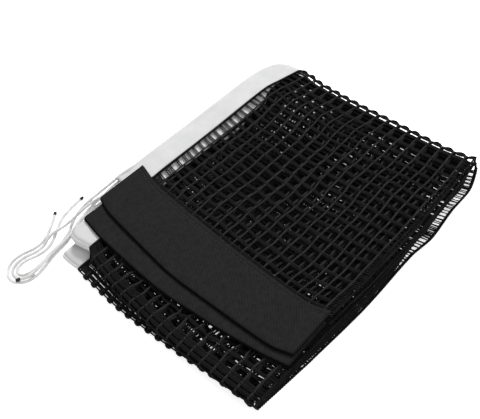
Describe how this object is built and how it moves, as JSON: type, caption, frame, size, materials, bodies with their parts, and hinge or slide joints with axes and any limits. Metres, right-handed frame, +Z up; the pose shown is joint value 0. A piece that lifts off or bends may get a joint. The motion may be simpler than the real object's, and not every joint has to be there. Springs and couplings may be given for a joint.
{
  "type": "table tennis net",
  "caption": "Folded replacement net for table tennis: black knitted mesh with a white top tape, draw cords and a woven sleeve at each end for the net posts.",
  "frame": {"origin": "bottom centre of the folded net, without its cord tails", "axes": "+X from the sleeve end towards the far folds, +Y from the hem towards the top tape, +Z up from the ground"},
  "size_m": [0.2307, 0.1807, 0.0133],
  "materials": {
    "net_yarn": "black polyester raschel-knit square mesh, slightly sheeny",
    "tape_weave": "white woven polyester tape, matt",
    "sleeve_twill": "black polyester twill, matt",
    "cord_braid": "white braided polyester cord",
    "sealed_tip": "melted and charred cord end, semi-gloss",
    "plain_tip": "melted cord end, semi-gloss"
  },
  "bodies": {
    "panel_4": {"net_middle_bend": "net_yarn", "net_panel_4a": "net_yarn", "net_panel_4b": "net_yarn", "tape_cord_4a_1": "cord_braid", "tape_cord_4a_2": "cord_braid", "tape_cord_4b_1": "cord_braid", "tape_cord_4b_2": "cord_braid", "tape_middle_bend": "tape_weave", "top_tape_4a": "tape_weave", "top_tape_4b": "tape_weave"},
    "panel_3": {"net_panel_3a": "net_yarn", "net_panel_3b": "net_yarn", "tape_cord_3a_1": "cord_braid", "tape_cord_3a_2": "cord_braid", "tape_cord_3b_1": "cord_braid", "tape_cord_3b_2": "cord_braid", "top_tape_3a": "tape_weave", "top_tape_3b": "tape_weave"},
    "panel_2": {"net_panel_2a": "net_yarn", "net_panel_2b": "net_yarn", "tape_cord_2a_1": "cord_braid", "tape_cord_2a_2": "cord_braid", "tape_cord_2b_1": "cord_braid", "tape_cord_2b_2": "cord_braid", "top_tape_2a": "tape_weave", "top_tape_2b": "tape_weave"},
    "panel_1": {"cord_tail_1": "cord_braid", "cord_tail_2": "cord_braid", "cord_tail_3": "cord_braid", "cord_tail_4": "cord_braid", "cord_tip_1": "sealed_tip", "cord_tip_2": "sealed_tip", "cord_tip_3": "sealed_tip", "cord_tip_4": "plain_tip", "net_panel_1a": "net_yarn", "net_panel_1b": "net_yarn", "post_sleeve_a_back": "sleeve_twill", "post_sleeve_a_fold": "sleeve_twill", "post_sleeve_a_front": "sleeve_twill", "post_sleeve_a_seam": "sleeve_twill", "post_sleeve_b_back": "sleeve_twill", "post_sleeve_b_fold": "sleeve_twill", "post_sleeve_b_front": "sleeve_twill", "post_sleeve_b_seam": "sleeve_twill", "tape_cord_1a_1": "cord_braid", "tape_cord_1a_2": "cord_braid", "tape_cord_1b_1": "cord_braid", "tape_cord_1b_2": "cord_braid", "top_tape_1a": "tape_weave", "top_tape_1b": "tape_weave"}
  },
  "joints": [
    {"name": "bottom_fold", "type": "hinge", "parent": "panel_4", "child": "panel_3", "pos_m": [0.1043, 0, 0.00665], "axis": [0, 1, 0], "range_deg": [0, 179.8]},
    {"name": "middle_fold", "type": "hinge", "parent": "panel_3", "child": "panel_2", "pos_m": [-0.0943, 0, 0.00835], "axis": [0, -1, 0], "range_deg": [0, 179.8], "deforming": ["cord_tail_1", "cord_tail_2", "cord_tail_3", "cord_tail_4", "cord_tip_1", "cord_tip_2", "cord_tip_3", "cord_tip_4"]},
    {"name": "top_fold", "type": "hinge", "parent": "panel_2", "child": "panel_1", "pos_m": [0.1043, 0, 0.00835], "axis": [0, 1, 0], "range_deg": [0, 179.8]}
  ]
}
